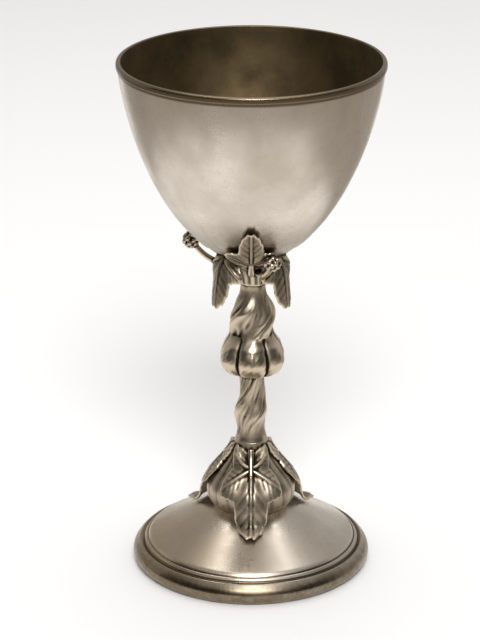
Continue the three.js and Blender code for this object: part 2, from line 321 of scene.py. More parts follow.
def mark_relief(piece, passes, full_depth):
    """Keeps how far each point stands from the form around it, from 0 in the hollows to 1 on the ridges."""
    mesh = piece.data
    points, pairs = points_and_pairs(mesh)
    normals = read(mesh.vertices, "normal", 3)
    height = np.einsum("ij,ij->i", points - relax(points, pairs, passes, share=0.6), normals)
    relief = np.clip(0.5 + 0.5 * height / (full_depth * MM), 0, 1)
    attribute = mesh.attributes.new("relief", "FLOAT", "POINT")
    attribute.data.foreach_set("value", relief.astype(np.float32))


class Guide:
    """A smooth curve of (radius, height) through its knots, walked by length and run on straight past its ends."""

    def __init__(self, knots):
        knots = np.array([[float(a), float(b)] for a, b in knots])
        padded = np.concatenate([knots[:1], knots, knots[-1:]])
        t = np.linspace(0, 1, 40, endpoint=False)[:, None]
        spans = []
        for a, b, c, d in zip(padded, padded[1:], padded[2:], padded[3:]):
            bend, twist = 2 * a - 5 * b + 4 * c - d, 3 * b - a - 3 * c + d
            spans.append(0.5 * (2 * b + (c - a) * t + bend * t**2 + twist * t**3))
        self.points = np.concatenate(spans + [knots[-1:]])
        steps = np.hypot(*np.diff(self.points, axis=0).T)
        self.walked = np.concatenate([[0], np.cumsum(steps)])
        self.length = self.walked[-1]

    def at(self, distance):
        """Points and unit tangents at distances along the curve."""
        within = np.clip(distance, 0, self.length)
        reach = 0.15
        point, ahead, behind = (
            np.stack([np.interp(walk, self.walked, self.points[:, k]) for k in (0, 1)], -1)
            for walk in (within, within + reach, within - reach)
        )
        tangent = ahead - behind
        tangent /= np.linalg.norm(tangent, axis=-1, keepdims=True)
        return point + tangent * (distance - within)[..., None], tangent

    def point(self, distance):
        return self.at(np.array([distance]))[0][0]


def bump(x, width):
    return np.exp(-((x / width) ** 2))


# Vine leaves


LOBES = (0.0, TURN / 6, -TURN / 6, TURN / 3, -TURN / 3)


def leaf_reach(angle):
    """How far a toothed leaf reaches at an angle from its midrib, as a share of its length."""
    off = np.abs(angle)
    reach = 0.3 + 0.7 * bump(off, 0.5) + 0.42 * bump(off - TURN / 6, 0.38) + 0.22 * bump(off - TURN / 3, 0.36)
    teeth = np.abs(((angle * 44 / TURN) % 1.0) - 0.4)
    cleft = 0.07 * (bump(off - TURN / 12, 0.06) + bump(off - TURN / 4, 0.08))
    return (reach - 0.16 * bump(off - TURN / 2, 0.3)) * (1.03 - 0.1 * teeth - cleft)


def vein_relief(along, across, length):
    """Height of the veins: a rib down each lobe with a groove on both sides, and slanting grooves."""
    height = np.zeros_like(along)
    nearest = np.full_like(along, 1e3)
    for lobe in LOBES:
        far = length * float(leaf_reach(np.array(lobe)))
        forward = along * math.cos(lobe) + across * math.sin(lobe)
        aside = np.abs(across * math.cos(lobe) - along * math.sin(lobe))
        share = np.clip(forward / far, 0, 1)
        width = 0.48 - 0.2 * share
        rib = bump(aside, width) - 0.6 * bump(aside - 2.1 * width, width)
        rib = rib * (1 - 0.6 * share) * np.clip(forward / 1.5, 0, 1)
        phase = ((forward - aside * 1.15) / (far / 6)) % 1.0
        slant = -0.55 * bump(phase - 0.5, 0.14) * (aside < 0.42 * forward) * (1 - share**3)
        mine = aside < nearest
        height = np.where(mine & (forward > 0), rib + np.where(aside > 2.2 * width, slant, 0), height)
        nearest = np.where(mine & (forward > 0), aside, nearest)
    return height


def leaf_skin(guide, stalk_at, length, spread, thickness, azimuth, fold, curl, shown):
    """A closed leaf laid along a guide and wrapped round the cup's axis: veins on the side that shows, a plain
    back and thin edges."""
    columns, rings = 176, 34
    angle = once_round(columns) - TURN / 2
    room = TURN / LEAF_COUNT / 2

    def face(share, side):
        reach = share * length * leaf_reach(angle)
        along, across = reach * np.cos(angle), spread * reach * np.sin(angle)
        pleat = fold * np.cos(6 * angle) * math.sin(math.pi * share * 0.8)
        edge = 1 - 0.5 * share**4
        outward = np.clip(along / length, 0, 1)
        rise = curl * outward**2 * share**2 * (0.6 + 0.4 * np.cos(9 * angle))
        lift = side * thickness / 2 * edge + pleat + shown * rise
        if side == shown:
            lift = lift + shown * VEIN_DEPTH * vein_relief(along, across / spread, length)
            lift = lift - shown * 0.12 * (1 - share)
        point, tangent = guide.at(stalk_at + along)
        normal = np.stack([-tangent[:, 1], tangent[:, 0]], 1)
        point = point + normal * lift[:, None]
        turn = azimuth + room * np.tanh(across / point[:, 0] / room)
        return ring(point[:, 0], turn, point[:, 1])

    shares = [k / rings for k in range(1, rings + 1)]
    rows = [face(0.001, -1).mean(0)]
    rows += [face(share, -1) for share in shares]
    rows += [face(share, 1) for share in reversed(shares)]
    rows.append(face(0.001, 1).mean(0))
    return loft(rows)


def leaf_stalk(guide, azimuth, start, end, lift, radius):
    """A round stalk that follows a leaf's guide from one distance to another."""
    walk = np.linspace(start, end, 24)
    point, tangent = guide.at(walk)
    normal = np.stack([-tangent[:, 1], tangent[:, 0]], 1)
    turn = once_round(16)
    out = np.array([math.cos(azimuth), math.sin(azimuth), 0])
    side = np.array([-math.sin(azimuth), math.cos(azimuth), 0])
    up = np.array([0, 0, 1])
    rows = []
    for (r, z), (n_r, n_z), t in zip(point, normal, np.linspace(0, 1, 24)):
        thick = radius * (1.2 - 0.4 * t)
        middle = (r + n_r * lift) * out + (z + n_z * lift) * up
        across = n_r * out + n_z * up
        rows.append(middle - thick * (np.outer(np.cos(turn), side) + np.outer(np.sin(turn), across)))
    return loft([rows[0].mean(0), *rows, rows[-1].mean(0)])


# Bowl


def bowl_outer(sizes, height):
    """Outer radius of the bowl's wall at a height above its seat, in millimetres."""
    tall = BOWL_HIGH.z - BOWL_LOW.z
    tip = sizes.bowl_tip_depth
    share = (height + tip) / (tall + tip)
    return sizes.bowl_radius * (1 - (1 - share) ** 1.485) ** 0.478


def in_bowl_wall(sizes, height, depth):
    """A point (radius, height) at a depth under the bowl's outer face, measured square to it."""
    reach = 0.01
    slope = (bowl_outer(sizes, height + reach) - bowl_outer(sizes, height - reach)) / (2 * reach)
    long = math.hypot(1, slope)
    return bowl_outer(sizes, height) - depth / long, BOWL_LOW.z + height + depth * slope / long


def arc(centre_r, centre_z, radius, start, end, count):
    """Points of a round stretch of a profile, from one angle to another in degrees."""
    angles = [math.radians(start + (end - start) * k / count) for k in range(count + 1)]
    return [(centre_r + radius * math.cos(a), centre_z + radius * math.sin(a)) for a in angles]


def build_bowl(sizes):
    wall = sizes.bowl_wall
    top, seat = BOWL_HIGH.z, BOWL_LOW.z
    bead_centre = BOWL_HIGH.x - LIP_INSET - LIP_BEAD
    heights = [(top - seat - sizes.lip_height) * (k / 70) ** 1.5 for k in range(71)]
    outside = [in_bowl_wall(sizes, h, 0) for h in heights]
    inside = [in_bowl_wall(sizes, h, wall) for h in reversed(heights)]
    roll = arc(bead_centre, top - LIP_BEAD - LIP_HANG, LIP_BEAD, -62, 0, 7)
    roll += arc(bead_centre, top - LIP_BEAD, LIP_BEAD, 0, 90, 9)
    roll += arc(sizes.bowl_radius - wall + LIP_EASING, top - LIP_EASING, LIP_EASING, 90, 180, 5)
    low_radius, low_height = inside[-1]
    shares = [1 - k / 8 for k in range(1, 8)]
    dish = [(low_radius * share, seat + wall + (low_height - seat - wall) * share**2) for share in shares]
    profile = [(0, seat)] + outside + roll + inside + dish + [(0, seat + wall)]
    sides = 288
    points, faces = loft(spun_rows(profile, sides))
    piece = mesh_object("bowl_shell", [(planish(points, HAMMER_DEPTH), faces)])
    first_inside = 1 + (len(outside) + len(roll) - 3) * sides
    mesh = piece.data
    corners = read(mesh.polygons, "loop_start", 1, np.int32).ravel()
    vertices = read(mesh.loops, "vertex_index", 1, np.int32).ravel()
    lining = (vertices[corners] >= first_inside).astype(np.int32)
    mesh.materials.append(None)
    mesh.materials.append(None)
    mesh.polygons.foreach_set("material_index", lining)
    return piece


def planish(points, depth):
    """Lets a shell wander from its true round by the depth of light hammering and old knocks."""
    moved = points.copy()
    for i, (x, y, z) in enumerate(points):
        radius = math.hypot(x, y)
        if radius < 1:
            continue
        slow = noise.noise(Vector((x, y, z)) / 19)
        quick = noise.noise(Vector((x, y, z)) / 6 + Vector((31, 7, 3)))
        push = depth * (slow + 0.35 * quick) * min(1, radius / 20)
        moved[i, 0] += push * x / radius
        moved[i, 1] += push * y / radius
    return moved


# Foot


def foot_top(sizes, radius):
    """Height of the foot's upper face at a radius, in millimetres."""
    seat = sizes.cap_seat_radius
    slope_radius = FOOT_HIGH.x - SLOPE_INSET
    out = min(1, max(0, (radius - seat) / (slope_radius - seat)))
    rim = sizes.foot_rim_height
    return rim + (FOOT_HIGH.z - rim) * (1 - out**1.1)


def build_foot(sizes):
    wall = sizes.foot_wall
    rim = sizes.foot_rim_height
    widest = FOOT_HIGH.x
    tuck = sizes.foot_rim_tuck
    bulge = [
        (widest - tuck + tuck * math.sin(math.pi * t) ** 0.8, rim * 0.93 * t)
        for t in np.linspace(0, 0.86, 20)
    ]
    mouldings = ((2.6, -0.62, 0.5, 40, 130, 6), (3.75, -0.1, 0.42, 250, 120, 7), (4.9, 0.35, 0.62, 30, 115, 7))
    step = []
    for inset, rise, radius, *sweep in mouldings:
        step += arc(widest - inset, rim + rise, radius, *sweep)
    start = widest - 5.9
    seat = sizes.cap_seat_radius
    slope = [(r, foot_top(sizes, r)) for r in np.linspace(start, seat, 40)]
    hollow_radius = widest - tuck - sizes.foot_ring_width
    crown = seat - wall / 2
    hollow = [(r, foot_top(sizes, r) - wall) for r in np.linspace(crown, hollow_radius, 24)]
    closing = [(hollow_radius + 0.1, 0.3), (hollow_radius + 0.35, 0.0), (widest - tuck - 0.3, 0.0)]
    outside = bulge + step + slope + [(seat * 0.5, FOOT_HIGH.z), (0, FOOT_HIGH.z)]
    inside = [(0, FOOT_HIGH.z - wall), (crown * 0.5, FOOT_HIGH.z - wall)] + hollow + closing
    sides = 240
    points, faces = loft(spun_rows(outside, sides))
    under_points, under_faces = loft(spun_rows(inside, sides))
    first = len(points)
    faces += [tuple(first + i for i in face) for face in under_faces]
    last = first + len(under_points) - sides
    for i in range(sides):
        j = (i + 1) % sides
        faces.append((last + i, last + j, j, i))
    points = np.concatenate([points, under_points])
    return mesh_object("foot_shell", [(planish(points, HAMMER_DEPTH), faces)])


# Leaf cap


def cap_point(radius, up):
    tall = CAP_HIGH.z - FOOT_HIGH.z
    return radius, FOOT_HIGH.z + tall * up


def cap_guide(sizes):
    lift = sizes.leaf_clearance + sizes.leaf_fold + sizes.cap_leaf_thickness / 2
    belly, top, tip = sizes.cap_belly_radius, sizes.cap_top_radius, sizes.cap_leaf_tip_radius
    knee = belly + (tip - belly) * 0.45
    return Guide([
        cap_point(top * 1.02, 0.97),
        cap_point(top * 1.4, 0.79),
        cap_point(belly * 0.76, 0.59),
        cap_point(belly * 1.03, 0.38),
        cap_point(belly * 1.15, 0.19),
        (knee, foot_top(sizes, knee) + lift),
        (tip, foot_top(sizes, tip) + lift),
    ])


def build_leaf_cap(sizes):
    belly = sizes.cap_belly_radius
    top = sizes.cap_top_radius
    outline = Guide([
        cap_point(sizes.cap_seat_radius, 0),
        cap_point(belly * 0.96, 0.1),
        cap_point(belly, 0.27),
        cap_point(belly * 0.91, 0.42),
        cap_point(belly * 0.73, 0.56),
        cap_point(belly * 0.53, 0.72),
        cap_point(top * 1.14, 0.88),
        cap_point(top, 1),
    ])
    sides, count = 180, 60
    turn = once_round(sides)
    rows = [np.array([0, 0, FOOT_HIGH.z])]
    for k in range(count + 1):
        radius, height = outline.point(outline.length * k / count)
        up = k / count
        ends = min(1, 7 * up, 7 * (1 - up))
        flute = 0.35 * np.abs(np.sin(9 * turn + 1.3 * up)) - 0.35
        rows.append(ring(radius + ends * flute, turn, height))
    rows.append(np.array([0, 0, CAP_HIGH.z]))
    guide = cap_guide(sizes)
    thickness, fold = sizes.cap_leaf_thickness, sizes.leaf_fold
    stalk_start, stalk_end = 1.5, sizes.cap_leaf_stalk + 2.4
    skins = [loft(rows)]
    for i in range(LEAF_COUNT):
        azimuth = FRONT + i * TURN / LEAF_COUNT
        leaf = (guide, sizes.cap_leaf_stalk, sizes.cap_leaf_length, CAP_LEAF_SPREAD, thickness)
        skins.append(leaf_skin(*leaf, azimuth, fold, curl=0.6, shown=1))
        skins.append(leaf_stalk(guide, azimuth, stalk_start, stalk_end, lift=thickness * 0.35, radius=0.85))
    piece = mesh_object("vine_leaf_cap", skins)
    fuse(piece, sizes.cast_voxel * MM)
    return piece


# Stem


def build_stem(sizes):
    trunk, knot = sizes.trunk_radius, sizes.trunk_knot_radius
    knop, shaft, neck = sizes.knop_radius, sizes.shaft_radius, sizes.hub_neck_radius
    tall = STEM_HIGH.z - STEM_LOW.z
    under, knop_tall = sizes.knop_underside, sizes.knop_height
    knop_top = under + knop_tall
    rest = tall - knop_top
    outline = Guide([
        (knot, 0),
        (trunk * 1.05, under * 0.16),
        (knot, under * 0.42),
        (trunk, under * 0.68),
        (trunk * 1.02, under),
        (knop * 0.8, under + knop_tall * 0.12),
        (knop, under + knop_tall * 0.4),
        (knop * 0.88, under + knop_tall * 0.72),
        (shaft, knop_top),
        (shaft * 0.97, knop_top + rest * 0.45),
        (neck * 1.1, knop_top + rest * 0.78),
        (neck, tall),
    ])
    bends = Guide([(i, bend * sizes.trunk_lean) for i, bend in enumerate((0, 0, 0.7, 0.6, 0.85, 1))])
    sides, count = 200, 330
    turn = once_round(sides)
    rows = [np.array([0, 0, STEM_LOW.z])]
    for k in range(count + 1):
        radius, z = outline.point(outline.length * k / count)
        share = z / tall
        ends = min(1, 6 * share, 6 * (1 - share))
        in_knop = min(1, max(0, (z - under) / knop_tall))
        lobed = math.sin(math.pi * in_knop) ** 0.5
        wound = turn - TRUNK_TWIST * share
        strand = (0.09 * np.cos(3 * wound) - 0.05 * bump(np.sin(1.5 * wound + 0.3), 0.22)) * (1 - lobed) * ends
        away = np.abs(np.cos(3 * (turn - FRONT)))
        lobe = 0.16 * (away**0.6 - 0.85) * lobed
        vein = 0.035 * bump(np.sin(3 * (turn - FRONT)), 0.16) * lobed * (1 - in_knop)
        bark = np.array([
            noise.noise(Vector((3.2 * math.cos(a - 4 * share), 3.2 * math.sin(a - 4 * share), z * 0.16)))
            for a in turn
        ])
        bark = 0.05 * np.abs(bark) * ends * (1 - 0.6 * lobed)
        reach = radius * (1 + strand + lobe + vein - bark)
        middle = np.interp(share * 5, bends.points[:, 0], bends.points[:, 1])
        rows.append(ring(reach, turn, STEM_LOW.z + z, middle))
    rows.append(np.array([sizes.trunk_lean, 0, STEM_HIGH.z]))
    return mesh_object("vine_stem", [loft(rows)])


# Calyx


def below_bowl(radius, drop):
    return radius, BOWL_LOW.z - drop


def bowl_leaf_guide(sizes, lift):
    neck = sizes.hub_neck_radius
    along = sizes.bowl_leaf_stalk + sizes.bowl_leaf_length
    hub_tall = BOWL_LOW.z - STEM_HIGH.z
    heights = [0.5] + [along * share for share in (0.1, 0.23, 0.42, 0.7)]
    return Guide([below_bowl(neck * 1.55, hub_tall * 0.2)] + [in_bowl_wall(sizes, h, -lift) for h in heights])


def hanging_leaf_guide(sizes, lift):
    neck = sizes.hub_neck_radius
    radius = sizes.hanging_radius
    hub_tall = BOWL_LOW.z - STEM_HIGH.z
    return Guide([
        below_bowl(neck * 1.2, hub_tall * 0.5),
        below_bowl(neck * 1.85, hub_tall * 0.26),
        in_bowl_wall(sizes, 0.6, -lift),
        below_bowl(radius * 0.96, hub_tall * 0.32),
        below_bowl(radius * 1.02, hub_tall * 0.8),
        below_bowl(radius * 1.07, hub_tall + sizes.hanging_drop),
    ])


def turn_about_axis(azimuth):
    """Turns rows of points from the side at +X to an azimuth."""
    c, s = math.cos(azimuth), math.sin(azimuth)
    return np.array([[c, s, 0], [-s, c, 0], [0, 0, 1]])


def ball(centre, radius):
    tilts = np.radians(np.linspace(-90, 90, 13))
    profile = [(radius * math.cos(tilt), radius * math.sin(tilt)) for tilt in tilts]
    return loft([centre + row for row in spun_rows(profile, 20)])


def stalk(start, sag, end, radius):
    """A round stalk along a bent line, a little thicker at its root."""
    t = np.linspace(0, 1, 26)[:, None]
    line = (1 - t) ** 2 * start + 2 * t * (1 - t) * sag + t**2 * end
    turn = once_round(18)
    rows = [line[0]]
    side = np.cross(end - start, sag - start)
    side /= np.linalg.norm(side)
    for k, middle in enumerate(line):
        ahead = line[min(k + 1, len(line) - 1)] - line[max(k - 1, 0)]
        ahead /= np.linalg.norm(ahead)
        up = np.cross(side, ahead)
        grow = radius * (1.25 - 0.35 * k / len(line))
        rows.append(middle + grow * (np.outer(np.cos(turn), side) + np.outer(np.sin(turn), up)))
    rows.append(line[-1])
    return loft(rows)


def bunch(sizes, azimuth):
    """A bunch of berries on a bent stalk, packed in a spiral over a ball."""
    whole, berry = sizes.bunch_radius, sizes.berry_radius
    reach, height = in_bowl_wall(sizes, sizes.bunch_height, -(whole + sizes.leaf_clearance))
    spin = turn_about_axis(azimuth)
    centre = np.array([reach, 0, height]) @ spin
    skins = [ball(centre, whole - berry)]
    for i in range(sizes.berry_count):
        up = 1 - 2 * (i + 0.5) / sizes.berry_count
        turn = i * TURN * 0.382
        out = math.sqrt(1 - up * up)
        place = np.array([math.cos(turn) * out, math.sin(turn) * out, up]) * (whole - berry)
        skins.append(ball(centre + place, berry))
    skins.append(hub_stalk(sizes, reach, height, azimuth))
    return skins


def hub_stalk(sizes, reach, height, azimuth):
    """A bent stalk from inside the hub to a point (radius, height)."""
    spin = turn_about_axis(azimuth)
    neck = sizes.hub_neck_radius
    tall = BOWL_LOW.z - STEM_HIGH.z
    start = np.array([neck * 0.6, 0, BOWL_LOW.z - tall * 0.45])
    sag = np.array([(start[0] + reach) * 0.6, 0, start[2] - tall * 0.15])
    return stalk(start @ spin, sag @ spin, np.array([reach, 0, height]) @ spin, radius=1.0)


def hub(sizes):
    neck = sizes.hub_neck_radius
    head = bowl_outer(sizes, 0)
    tall = BOWL_LOW.z - STEM_HIGH.z
    outline = Guide([
        (neck, 0),
        (neck * 1.1, 0.3 * tall),
        (neck * 1.3, 0.6 * tall),
        (head * 0.92, 0.88 * tall),
        (head, tall),
    ])
    sides, count = 120, 40
    turn = once_round(sides)
    rows = [np.array([sizes.trunk_lean, 0, STEM_HIGH.z])]
    for k in range(count + 1):
        radius, z = outline.point(outline.length * k / count)
        up = z / tall
        flute = 0.03 * np.cos(12 * turn) * min(1, 6 * up, 6 * (1 - up))
        middle = sizes.trunk_lean * (1 - up)
        rows.append(ring(radius * (1 + flute - 0.02), turn, STEM_HIGH.z + z, middle))
    rows.append(np.array([0, 0, BOWL_LOW.z]))
    return loft(rows)


def build_calyx(sizes):
    thickness, fold = sizes.calyx_leaf_thickness, sizes.leaf_fold
    lift = sizes.leaf_clearance + fold + thickness / 2
    bowl_guide, hanging_guide = bowl_leaf_guide(sizes, lift), hanging_leaf_guide(sizes, lift)
    bowl_root = bowl_guide.point(sizes.bowl_leaf_stalk)
    lobe_across = 0.71 * math.sin(TURN / 6)
    bowl_spread = sizes.bowl_leaf_half_width / (sizes.bowl_leaf_length * lobe_across)
    hanging_spread = sizes.hanging_half_width / (sizes.hanging_length * lobe_across)
    bowl_leaf = (bowl_guide, sizes.bowl_leaf_stalk, sizes.bowl_leaf_length, bowl_spread, thickness)
    hanging_leaf = (hanging_guide, sizes.hanging_stalk, sizes.hanging_length, hanging_spread, thickness)
    skins = [hub(sizes)]
    for i in range(LEAF_COUNT):
        azimuth = FRONT + i * TURN / LEAF_COUNT
        between = azimuth + TURN / LEAF_COUNT / 2
        skins.append(leaf_skin(*bowl_leaf, azimuth, fold, curl=0.7, shown=-1))
        skins.append(hub_stalk(sizes, *bowl_root, azimuth))
        skins.append(leaf_skin(*hanging_leaf, between, fold, curl=0.8, shown=1))
        skins += bunch(sizes, azimuth + BUNCH_TURN)
    piece = mesh_object("vine_calyx", skins)
    fuse(piece, sizes.cast_voxel * MM)
    return piece


# Materials


def node(tree, kind, settings=None, **inputs):
    """Adds a shader node, with its settings, and its inputs as values or links."""
    added = tree.nodes.new(kind)
    for key, value in (settings or {}).items():
        setattr(added, key, value)
    for key, value in inputs.items():
        socket = added.inputs[int(key[1:])] if key[0] == "_" else added.inputs[key.replace("_", " ")]
        if isinstance(value, bpy.types.NodeSocket):
            tree.links.new(value, socket)
        else:
            socket.default_value = value
    return added


def ramp(tree, factor, stops):
    """A colour ramp through stops of (place, value), where a value is a grey level or a colour."""
    added = node(tree, "ShaderNodeValToRGB", _0=factor)
    elements = added.color_ramp.elements
    while len(elements) < len(stops):
        elements.new(0.5)
    for element, (place, value) in zip(elements, stops):
        element.position = place
        element.color = value if hasattr(value, "__len__") else (value, value, value, 1)
    return added.outputs["Color"]


def new_material(name):
    """A material with an empty tree, and the place on the object that its textures go by."""
    material = bpy.data.materials.new(name)
    material.use_nodes = True
    tree = material.node_tree
    tree.nodes.clear()
    return material, tree, node(tree, "ShaderNodeTexCoord").outputs["Object"]


def finish_metal(tree, tone, roughness, height, height_mm):
    """Closes a metal: its colour, its gloss and the relief of its surface."""
    relief = node(tree, "ShaderNodeBump", Strength=1.0, Distance=height_mm * MM, Height=height).outputs["Normal"]
    look = {"Base_Color": tone, "Metallic": 1.0, "Roughness": roughness, "Normal": relief}
    shader = node(tree, "ShaderNodeBsdfPrincipled", **look)
    node(tree, "ShaderNodeOutputMaterial", Surface=shader.outputs["BSDF"])


def spread(tree, place, feature_mm, detail, rough=0.55, stretch=(1, 1, 1)):
    """Noise whose features are so many millimetres wide."""
    scaled = node(tree, "ShaderNodeMapping", Vector=place, Scale=stretch).outputs["Vector"]
    grain = {"Scale": 1 / (feature_mm * MM), "Detail": detail, "Roughness": rough}
    return node(tree, "ShaderNodeTexNoise", Vector=scaled, **grain).outputs["Fac"]


def mixed(tree, factor, first, second, blend="MIX"):
    settings = {"data_type": "RGBA", "blend_type": blend}
    return node(tree, "ShaderNodeMix", settings, Factor=factor, _6=first, _7=second).outputs[2]


def reckoned(tree, operation, first, second):
    return node(tree, "ShaderNodeMath", {"operation": operation}, _0=first, _1=second).outputs[0]


def rescaled(tree, value, low, high, new_low=0.0, new_high=1.0):
    """A value carried from one range to another and held within it."""
    ends = {"From_Min": low, "From_Max": high, "To_Min": new_low, "To_Max": new_high}
    return node(tree, "ShaderNodeMapRange", Value=value, **ends).outputs[0]


def along_axis(tree, place, axis, start_mm, end_mm):
    """A value that grows from 0 to 1 between two places along an axis of the cup."""
    parts = node(tree, "ShaderNodeSeparateXYZ", Vector=place)
    return rescaled(tree, parts.outputs[axis], start_mm * MM, end_mm * MM)


def tarnished_silver_plate(finish, name, stained, grime_and_shade, left_side_shade):
    """Silver plate, spun on a lathe and rubbed by hand. It is a warm grey mirror gone soft: thin tarnish lies
    over it in clouds, and fine lines run round it with the tool and across it with the cloth. Bands along the
    height, each with the height where it is clear, the height where it is full and its share, darken it, partly
    as a dull film and partly as painted shade. A band across it paints shade on the left side, where the light
    falls less."""
    material, tree, place = new_material(name)
    cloud = spread(tree, place, 22, 5)
    fleck = spread(tree, place, 2.2, 4, 0.7)
    tool_lines = spread(tree, place, 18, 2, 0.6, (1, 1, 45))
    cloth_lines = spread(tree, place, 9, 3, 0.6, (14, 1, 0.8))
    cover = ramp(tree, cloud, [(0.36, 0.05), (0.68, 0.75)])
    base = mixed(tree, cover, finish.silver, finish.tarnish)
    spots = ramp(tree, fleck, [(0.55, 0.0), (0.8, 0.55)])
    spotted = mixed(tree, spots, base, finish.tarnish)
    relief = node(tree, "ShaderNodeAttribute", {"attribute_name": "relief"}).outputs["Fac"]
    corner = ramp(tree, relief, [(0.18, stained), (0.47, 0.0)])
    tone = mixed(tree, corner, spotted, finish.stain)
    # Bands along the height: partly a dull film and partly painted shade at the foot's rim and the lip, painted
    # shade at the bottom of the bowl.
    films = [("Z", *band, fleck, 0.55, finish.grime_and_shade) for band in grime_and_shade]
    # Painted shade: a band across the foot, darker towards the left, where the light falls less.
    if left_side_shade:
        films.insert(0, ("X", 12, -34, left_side_shade, cloud, 0.9, finish.brown))
    for axis, clear_mm, full_mm, share, texture, offset, tint in films:
        band = along_axis(tree, place, axis, clear_mm, full_mm)
        uneven = reckoned(tree, "MULTIPLY", band, reckoned(tree, "ADD", texture, offset))
        tone = mixed(tree, reckoned(tree, "MULTIPLY", uneven, share), tone, tint)
    gloss = rescaled(tree, cloud, 0.3, 0.75, 0.17, 0.34)
    lines = reckoned(tree, "ADD", tool_lines, cloth_lines)
    roughness = reckoned(tree, "ADD", gloss, reckoned(tree, "MULTIPLY", lines, 0.05))
    finish_metal(tree, tone, roughness, lines, height_mm=0.012)
    return material


def browned_gilding(finish):
    """Fire gilding inside the bowl, long unpolished. It is brown gold with darker clouds and a soft gloss."""
    material, tree, place = new_material("browned_gilding")
    cloud = spread(tree, place, 16, 6, 0.6)
    tool_lines = spread(tree, place, 18, 2, 0.6, (1, 1, 45))
    cover = ramp(tree, cloud, [(0.35, 0.15), (0.65, 0.95)])
    tone = mixed(tree, cover, finish.gilt, finish.gilt_dark)
    finish_metal(tree, tone, rescaled(tree, cloud, 0.3, 0.7, 0.5, 0.62), tool_lines, height_mm=0.012)
    return material


def oxidised_cast_silver(finish, name, rubbed):
    """Cast silver, chased and then darkened with oxide. The high points are rubbed back to grey metal, and the
    hollows stay black-brown and dull. How far the cloth reached is the share of bare metal on a level place."""
    material, tree, place = new_material(name)
    relief = node(tree, "ShaderNodeAttribute", {"attribute_name": "relief"}).outputs["Fac"]
    grain = spread(tree, place, 0.7, 4, 0.65)
    cloud = reckoned(tree, "SUBTRACT", spread(tree, place, 7, 4), 0.5)
    level = reckoned(tree, "ADD", relief, reckoned(tree, "MULTIPLY", cloud, 0.35))
    worn = ramp(tree, level, [(0.3, 0.0), (0.5, rubbed), (0.72, 1.0)])
    tone = mixed(tree, worn, finish.cast_low, finish.cast_high)
    finish_metal(tree, tone, rescaled(tree, level, 0.3, 0.75, 0.56, 0.3), grain, height_mm=0.05)
    return material


def matt_sheet(name, feature_mm, detail, stops, roughness, tint=None):
    """A matt sheet whose tone wanders between stops, with a tint over it where one is given."""
    material, tree, place = new_material(name)
    tone = ramp(tree, spread(tree, place, feature_mm, detail), stops)
    if tint:
        tone = mixed(tree, 1.0, tone, tint, "MULTIPLY")
    shader = node(tree, "ShaderNodeBsdfPrincipled", Base_Color=tone, Roughness=roughness)
    node(tree, "ShaderNodeOutputMaterial", Surface=shader.outputs["BSDF"])
    return material


def dress(piece, nodes, materials):
    """Gives a piece its materials and its place in the model, and hides the solid that it stands for."""
    for index, material in enumerate(materials):
        if index < len(piece.data.materials):
            piece.data.materials[index] = material
        else:
            piece.data.materials.append(material)
    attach(piece, "root")
    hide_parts(*nodes)


# Stage


def stage_object(name, points, faces, material):
    """Adds a mesh, in metres, that belongs to the picture and not to the cup."""
    mesh = bpy.data.meshes.new(name)
    mesh.from_pydata(points, [], faces)
    mesh.materials.append(material)
    sheet = bpy.data.objects.new(name, mesh)
    bpy.context.scene.collection.objects.link(sheet)
    return sheet


def add_soft_light(name, shape, across, watts, place, facing):
    data = bpy.data.lights.new(name, "AREA")
    data.shape, data.size, data.energy = shape, across, watts
    lamp = bpy.data.objects.new(name, data)
    lamp.location, lamp.rotation_euler = place, facing
    bpy.context.scene.collection.objects.link(lamp)


def table_edge(azimuth):
    """Distance from the cup at which the paper ends, by azimuth from the front. It ends sooner on the right."""
    paper = 0.235
    right = 0.07 / (1 + math.exp(-(azimuth - 1.15) / 0.1))
    notch = 0.09 * bump(azimuth - 0.06, 0.06) + 0.06 * bump(azimuth + 0.72, 0.05)
    return paper - right - notch


def add_dark_surround():
    """The grey table beyond the paper and the dark room behind the camera, seen only as reflections."""
    far, low, high = 1.3, 0.001, 1.1

    def line(first, last, reach, height):
        angles = np.radians(np.linspace(first, last, 197))
        return [(math.sin(a) * reach(a), -math.cos(a) * reach(a), height) for a in angles]

    def strip(name, first, last, near, top, material):
        strip_object(name, line(first, last, near, low), line(first, last, lambda a: far, top), material)

    table = matt_sheet("grey_table", 60, 3, [(0.3, linear("#8F8A84")), (0.7, linear("#A8A39C"))], 0.85)
    strip("table", -140, 155, table_edge, low, table)
    cloth = matt_sheet("dark_cloth", 3, 2, [(0.0, linear("#1D1A17")), (1.0, linear("#2A2622"))], 0.9)
    strip("room", -95, 95, lambda a: far, high, cloth)


def strip_object(name, first, second, material):
    """A sheet between two lines of points. It is left to the metal's reflections: it casts no shade and the camera
    doesn't see it."""
    count = len(first)
    faces = [(i, i + 1, count + i + 1, count + i) for i in range(count - 1)]
    sheet = stage_object(name, first + second, faces, material)
    for way in ("visible_camera", "visible_diffuse", "visible_shadow", "visible_transmission"):
        setattr(sheet, way, False)


def surround(strength):
    """A white studio tent, brightest low down and in front."""
    world = bpy.data.worlds.new("tent")
    world.use_nodes = True
    tree = world.node_tree
    tree.nodes.clear()
    direction = node(tree, "ShaderNodeTexCoord").outputs["Generated"]
    ways = node(tree, "ShaderNodeSeparateXYZ", Vector=direction)
    tone = ramp(tree, ways.outputs["Z"], [(0.3, linear("#FFFFFF")), (0.9, linear("#CAC7C4"))])
    for axis, first, last in (("X", "#F0EEEB", "#FFFFFF"), ("Y", "#FFFFFF", "#DAD8D6")):
        across = rescaled(tree, ways.outputs[axis], -0.7, 0.7)
        tint = ramp(tree, across, [(0.0, linear(first)), (1.0, linear(last))])
        tone = mixed(tree, 1.0, tone, tint, "MULTIPLY")
    background = node(tree, "ShaderNodeBackground", Color=tone, Strength=strength)
    node(tree, "ShaderNodeOutputWorld", Surface=background.outputs["Background"])
    return world


# Operators


